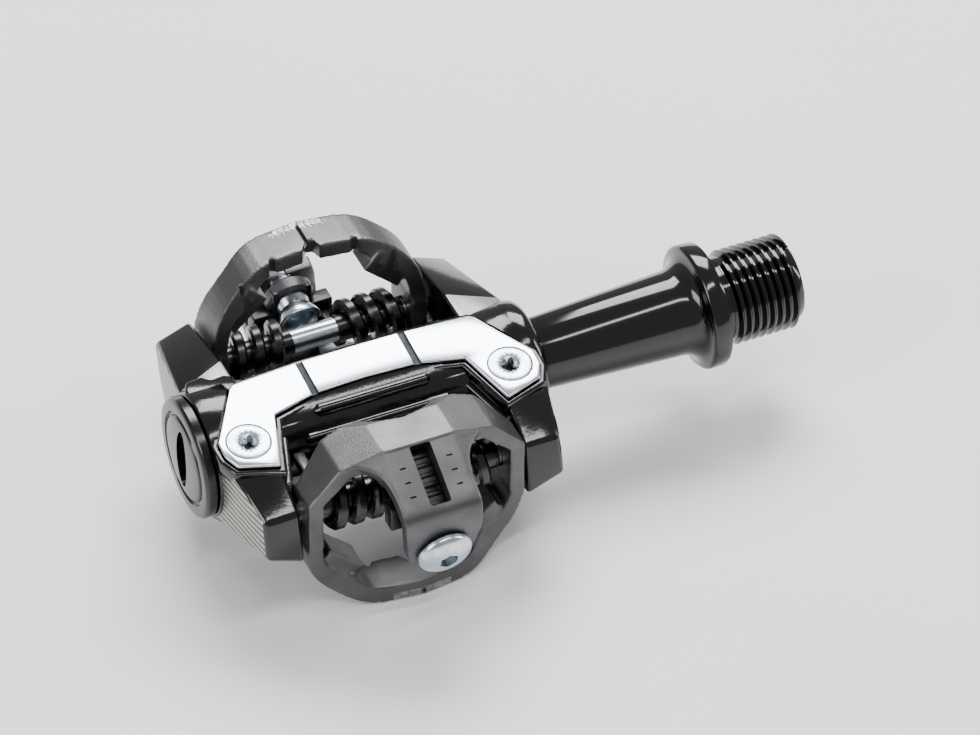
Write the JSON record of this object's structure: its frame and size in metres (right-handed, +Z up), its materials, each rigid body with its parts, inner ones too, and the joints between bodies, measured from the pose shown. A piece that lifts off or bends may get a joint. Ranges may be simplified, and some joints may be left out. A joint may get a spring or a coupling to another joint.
{
  "type": "clipless pedal",
  "caption": "Double-sided clipless bicycle pedal: spring-loaded cleat jaws on a narrow body that spins on a threaded spindle.",
  "frame": {"origin": "on the spindle axis at the crank face of the spindle's flange", "axes": "+X along the spindle into the crank, +Z up through the top cleat plate, +Y from the rear jaw towards the front jaw"},
  "size_m": [0.0965, 0.0666, 0.034],
  "materials": {
    "black_body": "gloss black cast aluminium",
    "black_spindle": "gloss black plated steel",
    "bright_steel": "bright plated steel",
    "plate_polish": "polished stainless steel",
    "jaw_steel": "satin gunmetal cast steel",
    "spring_steel": "black oiled spring steel",
    "black_steel": "black oxide steel",
    "black_cap": "black moulded nylon",
    "bush_polymer": "self-lubricating moulded polymer",
    "seal_rubber": "black nitrile rubber"
  },
  "bodies": {
    "spindle": {"spindle": "black_spindle", "bearing_inner_race": "bright_steel", "lock_washer": "bright_steel", "lock_nut": "bright_steel"},
    "ball_cage": {"bearing_ball_cage": "bright_steel"},
    "pedal_body": {"pedal_body": "black_body", "end_cap": "black_cap", "cap_o_ring": "seal_rubber", "plain_bush": "bush_polymer", "spindle_seal": "seal_rubber", "bearing_outer_race": "bright_steel", "bearing_cap_side_shield": "black_steel", "bearing_crank_side_shield": "black_steel", "top_cleat_plate": "plate_polish", "top_plate_screw_crank_side": "bright_steel", "top_plate_screw_cap_side": "bright_steel", "bottom_cleat_plate": "plate_polish", "bottom_plate_screw_crank_side": "bright_steel", "bottom_plate_screw_cap_side": "bright_steel", "rear_pivot_pin": "bright_steel", "front_pivot_pin": "bright_steel", "rear_spring_crank_side": "spring_steel", "rear_spring_cap_side": "spring_steel", "front_spring_crank_side": "spring_steel", "front_spring_cap_side": "spring_steel"},
    "rear_jaw": {"rear_jaw": "jaw_steel"},
    "rear_tension_plate": {"rear_tension_plate": "black_steel"},
    "rear_adjusting_screw": {"rear_adjusting_screw": "bright_steel"},
    "front_jaw": {"front_jaw": "jaw_steel"},
    "front_tension_plate": {"front_tension_plate": "black_steel"},
    "front_adjusting_screw": {"front_adjusting_screw": "bright_steel"}
  },
  "joints": [
    {"name": "body_spin", "type": "hinge", "parent": "spindle", "child": "pedal_body", "pos_m": [-0.056, 0, 0], "axis": [1, 0, 0], "continuous": true},
    {"name": "cage_spin", "type": "hinge", "parent": "spindle", "child": "ball_cage", "pos_m": [-0.072, 0, 0], "axis": [1, 0, 0], "continuous": true},
    {"name": "rear_jaw_pivot", "type": "hinge", "parent": "pedal_body", "child": "rear_jaw", "pos_m": [-0.056, -0.017, 0], "axis": [1, 0, 0], "range_deg": [0, 14], "stiffness_Nm_per_rad": 1.5, "springref_deg": -20.05, "deforming": ["rear_spring_crank_side", "rear_spring_cap_side"]},
    {"name": "rear_screw_turn", "type": "hinge", "parent": "rear_jaw", "child": "rear_adjusting_screw", "pos_m": [-0.056, -0.03065, -0.0016], "axis": [0, 0.9613, 0.2756], "range_deg": [-720, 360]},
    {"name": "rear_tension_slide", "type": "slide", "parent": "rear_jaw", "child": "rear_tension_plate", "axis": [0, 0.9613, 0.2756], "range_m": [-0.0008, 0.0016]},
    {"name": "front_jaw_pivot", "type": "hinge", "parent": "pedal_body", "child": "front_jaw", "pos_m": [-0.056, 0.017, 0], "axis": [1, 0, 0], "range_deg": [0, 14], "stiffness_Nm_per_rad": 1.5, "springref_deg": -20.05, "deforming": ["front_spring_crank_side", "front_spring_cap_side"]},
    {"name": "front_screw_turn", "type": "hinge", "parent": "front_jaw", "child": "front_adjusting_screw", "pos_m": [-0.056, 0.03065, 0.0016], "axis": [0, -0.9613, -0.2756], "range_deg": [-720, 360]},
    {"name": "front_tension_slide", "type": "slide", "parent": "front_jaw", "child": "front_tension_plate", "axis": [0, -0.9613, -0.2756], "range_m": [-0.0008, 0.0016]}
  ],
  "couplings": [
    {"joint": "cage_spin", "follows": "body_spin", "ratio": 0.5947},
    {"joint": "rear_tension_slide", "follows": "rear_screw_turn", "m_per_rad": -0.0001273},
    {"joint": "front_tension_slide", "follows": "front_screw_turn", "m_per_rad": -0.0001273}
  ]
}
